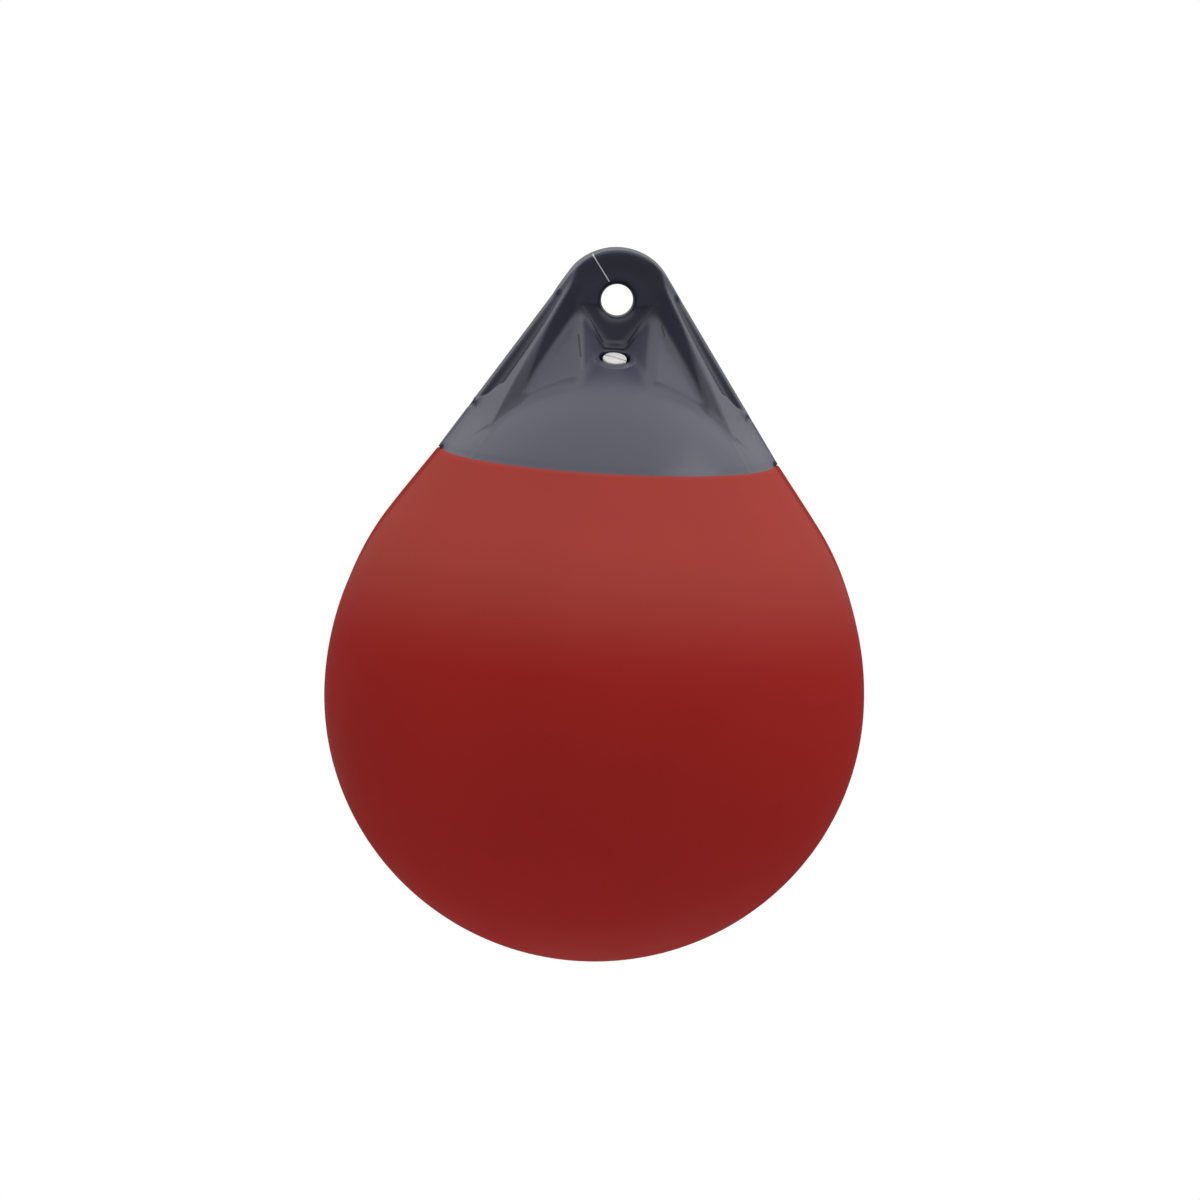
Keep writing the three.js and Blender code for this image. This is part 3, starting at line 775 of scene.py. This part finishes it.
def top_light_reach(points):
    """How far each point takes the painted top light: none in the rope eye, in the pocket at the web's foot,
    in the channels, in the valve bore, at the top of the arch and on the blunt ends of the fins, which keep a
    painted shade."""
    across, deep, high = np.abs(points[:, 0]), np.abs(points[:, 1]), points[:, 2]
    # Painted shade: the painted top light is held off in hollows and recesses where shade falls.
    pocket = np.sqrt((across / 21) ** 2 + ((deep - 5) / 9.5) ** 2 + ((high - 247.4) / 19) ** 2)
    share = smooth_step(13, 16.5, np.hypot(across, high - EYE_HEIGHT)) * smooth_step(0.85, 1.1, pocket)

    # On a blunt end the point lies on the field of the cut, and both fields face the same way.
    facing = slope_of(rope_hold, points)
    cap_facing = slope_of(fin_cap, points)
    alike = (facing * cap_facing).sum(1) / np.linalg.norm(facing, axis=1) / np.linalg.norm(cap_facing, axis=1)
    blunt = smooth_step(2.2, 1.2, np.abs(fin_cap(*points.T))) * smooth_step(0.86, 0.94, alike)
    share = share * (1 - blunt * smooth_step(255, 215, high))

    below_ridge = ARCH_RADIUS - across * ridge_cos - (high - arch_height) * ridge_sin
    sunk, half_width, crease = channel_place(deep, high)
    channel = smooth_step(0.8, 2.2, below_ridge) * smooth_step(3.5, 2.0, below_ridge - ridge_cos * sunk)
    channel = channel * smooth_step(1.0, 0.85, deep / np.maximum(half_width, 1))
    channel = channel * smooth_step(0, 3, high - crease)
    share = share * (1 - 0.85 * channel) * (1 - 0.85 * smooth_step(294, 302, high))
    return share * smooth_step(10.5, 11.1, valve_place(*points.T)[0])


def fine_line(tree, start, end, width):
    """Mask of a thin straight line on the front, from one place to another in x and z."""
    start, end = (Vector((x / 1000, 0, z / 1000 - EYE_ABOVE_BALL)) for x, z in (start, end))
    along = end - start
    place = node(tree, "ShaderNodeTexCoord")
    flat = node(tree, "ShaderNodeVectorMath", operation="MULTIPLY")
    flat.inputs[1].default_value = (1, 0, 1)
    offset = node(tree, "ShaderNodeVectorMath", operation="SUBTRACT")
    offset.inputs[1].default_value = start
    reach = node(tree, "ShaderNodeVectorMath", operation="DOT_PRODUCT")
    reach.inputs[1].default_value = along / along.length_squared
    held = node(tree, "ShaderNodeClamp")
    nearest = node(tree, "ShaderNodeVectorMath", operation="SCALE")
    nearest.inputs[0].default_value = along
    apart = node(tree, "ShaderNodeVectorMath", operation="DISTANCE")
    edge = node(tree, "ShaderNodeMapRange", interpolation_type="SMOOTHSTEP")
    edge.inputs["From Min"].default_value = width / 1000
    edge.inputs["From Max"].default_value = width / 2000
    axes = node(tree, "ShaderNodeSeparateXYZ")
    front = node(tree, "ShaderNodeMath", operation="LESS_THAN")
    front.inputs[1].default_value = 0
    mask = node(tree, "ShaderNodeMath", operation="MULTIPLY")
    join(
        tree,
        (place.outputs["Object"], flat.inputs[0]),
        (flat.outputs[0], offset.inputs[0]),
        (offset.outputs[0], reach.inputs[0]),
        (reach.outputs["Value"], held.inputs[0]),
        (held.outputs[0], nearest.inputs["Scale"]),
        (offset.outputs[0], apart.inputs[0]),
        (nearest.outputs[0], apart.inputs[1]),
        (apart.outputs["Value"], edge.inputs["Value"]),
        (place.outputs["Object"], axes.inputs[0]),
        (axes.outputs["Y"], front.inputs[0]),
        (edge.outputs[0], mask.inputs[0]),
        (front.outputs[0], mask.inputs[1]),
    )
    return mask.outputs[0]


# Painted light: the navy's upper faces take a pale blue-grey, a painted sheen of the light from above.
navy_vinyl = moulded_plastic(
    "navy_vinyl",
    colour=(0.012, 0.0135, 0.029),
    top_light=(0.048, 0.048, 0.073),
    mottle=0.2,
    roughness=0.32,
    peel=0.06,
    gloss=0.5,
)
tree = navy_vinyl.node_tree
coat = tree.nodes["skin"]
# The painted shade of the hollows rides on the hold as a point attribute that scales the painted top light.
carried = hold.data.attributes.new("top_light_reach_share", "FLOAT", "POINT")
carried.data.foreach_set("value", top_light_reach(hold_points).astype(np.float32))
carrier = node(tree, "ShaderNodeAttribute", attribute_name="top_light_reach_share")
join(tree, (carrier.outputs["Fac"], coat.inputs["Top Light Share"]))

# A white knit line runs from the strap to the rope eye, and a near-black line of painted shade lies along
# each front gusset's crest.
knit_white = (0.55, 0.55, 0.58, 1)
painted_crease_shade = (0.002, 0.002, 0.004, 1)
colour = coat.outputs["Colour"]
for start, end, width, paint in (
    ((-19.0, 305.0), (-6.4, 286.5), 0.5, knit_white),
    # Painted shade: near-black lines along the two gussets' crests.
    ((-25.7, 250.0), (-23.7, 236.5), 0.9, painted_crease_shade),
    ((31.0, 258.5), (33.2, 252.0), 0.9, painted_crease_shade),
):
    drawn = node(tree, "ShaderNodeMix", data_type="RGBA")
    drawn.inputs[7].default_value = paint
    join(tree, (fine_line(tree, start, end, width), drawn.inputs["Factor"]), (colour, drawn.inputs[6]))
    colour = drawn.outputs[2]
join(tree, (colour, tree.nodes["plastic"].inputs["Base Color"]))
hold.data.materials.append(navy_vinyl)
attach(hold, "root")
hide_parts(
    "rope_hold",
    "rope_hold_web",
    "rope_hold_front_left",
    "rope_hold_front_right",
    "rope_hold_back_left",
    "rope_hold_back_right",
)

# Valve screw
# The plug that closes the ball's valve: injection-moulded white nylon, with a rounded head and a slot
# for a coin, screwed into the rope hold in front of the web. The solid's own mesh shows it.
NYLON_WHITE = (0.75, 0.74, 0.71)
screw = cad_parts["valve_screw"]
nylon = moulded_plastic(
    "white_nylon", colour=NYLON_WHITE, top_light=NYLON_WHITE, mottle=0.1, roughness=0.35, peel=0.05, gloss=0.4
)
screw.data.materials.clear()
screw.data.materials.append(nylon)

# Valve seal
# A moulded ring of black rubber, pressed flat under the screw's head to keep the air in. The solid's own
# mesh shows it.
RUBBER_BLACK = (0.015, 0.015, 0.018)
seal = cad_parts["valve_seal"]
rubber = moulded_plastic(
    "black_rubber", colour=RUBBER_BLACK, top_light=RUBBER_BLACK, mottle=0.3, roughness=0.6, peel=0.3, gloss=0.3
)
seal.data.materials.clear()
seal.data.materials.append(rubber)
